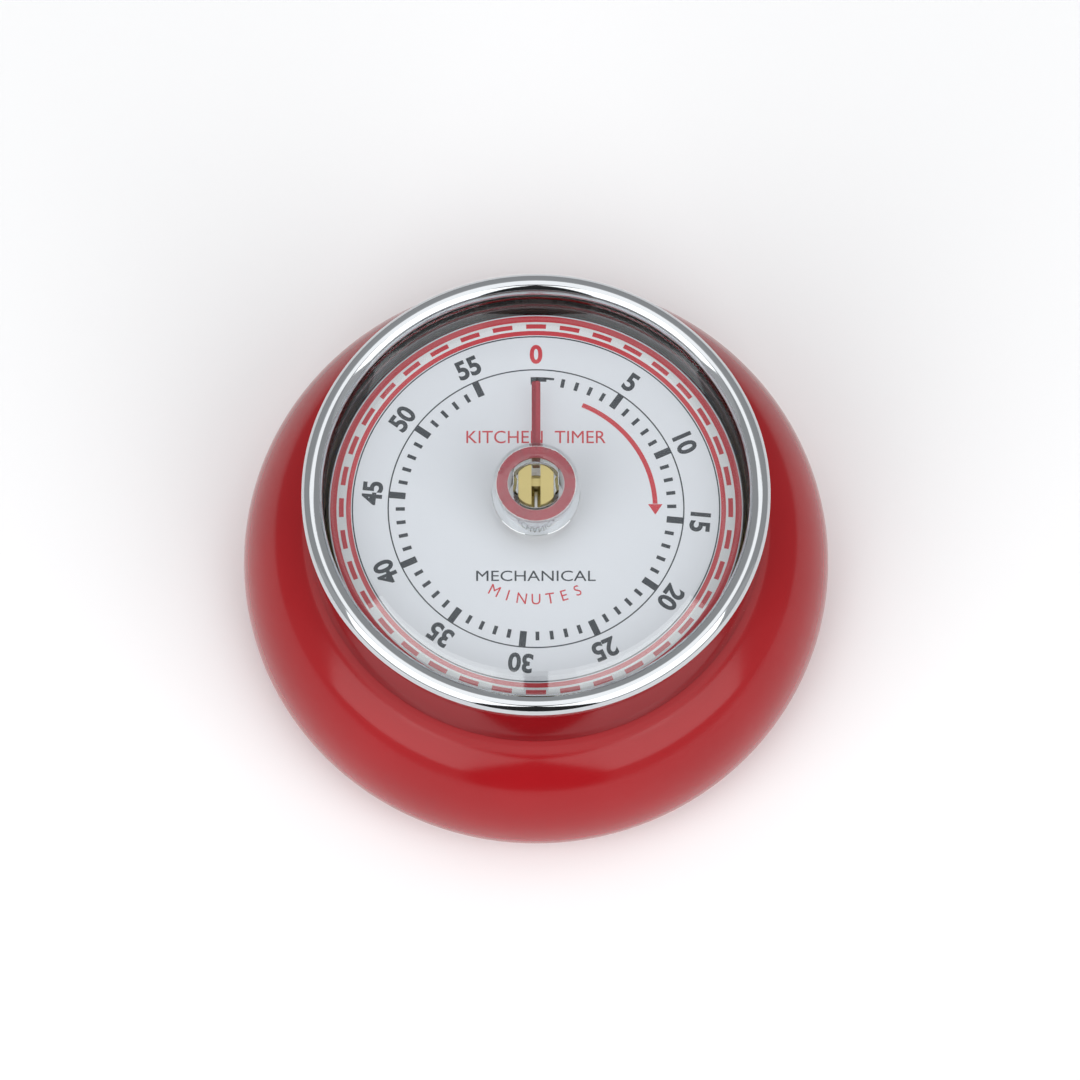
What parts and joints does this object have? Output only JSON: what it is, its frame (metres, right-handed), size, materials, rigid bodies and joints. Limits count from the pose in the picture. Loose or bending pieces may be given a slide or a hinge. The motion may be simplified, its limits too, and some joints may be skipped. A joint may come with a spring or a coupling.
{
  "type": "kitchen timer",
  "caption": "Round mechanical kitchen timer with a turning domed cap, chrome bezel, clear lens, printed minute dial and a gear movement with a bell on a flat back.",
  "frame": {"origin": "middle of the flat back face, on the dial's axis", "axes": "+Z out of the dial along its axis, +Y towards the dial's zero mark, +X towards its quarter mark"},
  "size_m": [0.075, 0.075, 0.0373],
  "materials": {
    "enamel": "gloss",
    "chrome": "polished",
    "lens_clear": "clear",
    "pointer_red": "satin",
    "sleeve_dark": "satin",
    "brass": "satin",
    "steel": "satin",
    "dial_grey": "satin",
    "cover_black": "fine texture",
    "magnet_grey": "matt",
    "bell_steel": "bright"
  },
  "bodies": {
    "base": {"back_cover": "cover_black", "magnets": "magnet_grey", "cover_screws": "steel", "gong": "bell_steel", "gong_post": "steel", "gong_screw": "steel", "rear_plate": "brass", "front_plate": "brass", "plate_pillars": "steel", "plate_screws": "steel", "dial_plate": "dial_grey", "dial_feet": "steel", "mainspring": "steel", "spring_post": "steel", "hammer_post": "steel", "release_post": "steel"},
    "cap": {"shell": "enamel", "bezel": "chrome", "lens": "lens_clear", "pointer": "pointer_red", "lens_sleeve": "sleeve_dark", "arbor": "brass", "arbor_key": "steel", "great_wheel": "brass", "clutch_washer": "steel", "release_cam": "brass"},
    "second": {"second_pinion": "steel", "second_wheel": "brass"},
    "third": {"third_pinion": "steel", "third_wheel": "brass"},
    "escape": {"escape_pinion": "steel", "escape_wheel": "brass"},
    "strike": {"strike_pinion": "steel", "strike_wheel": "brass"},
    "balance": {"balance_bar": "steel", "pallet_fork": "steel"},
    "hammer": {"hammer_arm": "steel", "hammer_head": "brass", "hammer_spring": "steel"},
    "release": {"release_lever": "steel"}
  },
  "joints": [
    {"name": "cap_turn", "type": "hinge", "parent": "base", "child": "cap", "pos_m": [0, 0, 0.0225], "axis": [0, 0, -1], "range_deg": [0, 335]},
    {"name": "second_turn", "type": "hinge", "parent": "base", "child": "second", "pos_m": [-0.01353, -0.00492, 0.016], "axis": [0, 0, -1], "range_deg": [-1675, 0]},
    {"name": "third_turn", "type": "hinge", "parent": "base", "child": "third", "pos_m": [-0.01105, -0.01358, 0.016], "axis": [0, 0, -1], "range_deg": [0, 6700]},
    {"name": "escape_turn", "type": "hinge", "parent": "base", "child": "escape", "pos_m": [-0.00462, -0.01744, 0.016], "axis": [0, 0, -1], "range_deg": [-26800, 0]},
    {"name": "strike_turn", "type": "hinge", "parent": "base", "child": "strike", "pos_m": [0.0025, 0.01418, 0.016], "axis": [0, 0, -1], "range_deg": [-1675, 0]},
    {"name": "balance_rock", "type": "hinge", "parent": "base", "child": "balance", "pos_m": [0.00288, -0.01625, 0.016], "axis": [0, 0, 1], "range_deg": [-5, 5]},
    {"name": "hammer_swing", "type": "hinge", "parent": "base", "child": "hammer", "pos_m": [-0.0109, 0.01556, 0.016], "axis": [0, 0, -1], "range_deg": [0, 8], "stiffness_Nm_per_rad": 0.0005},
    {"name": "release_lift", "type": "hinge", "parent": "base", "child": "release", "pos_m": [-0.01148, 0.00963, 0.016], "axis": [0, 0, 1], "range_deg": [0, 6]}
  ],
  "couplings": [
    {"joint": "second_turn", "follows": "cap_turn", "ratio": -5},
    {"joint": "third_turn", "follows": "cap_turn", "ratio": 20},
    {"joint": "escape_turn", "follows": "cap_turn", "ratio": -80},
    {"joint": "strike_turn", "follows": "cap_turn", "ratio": -5}
  ]
}
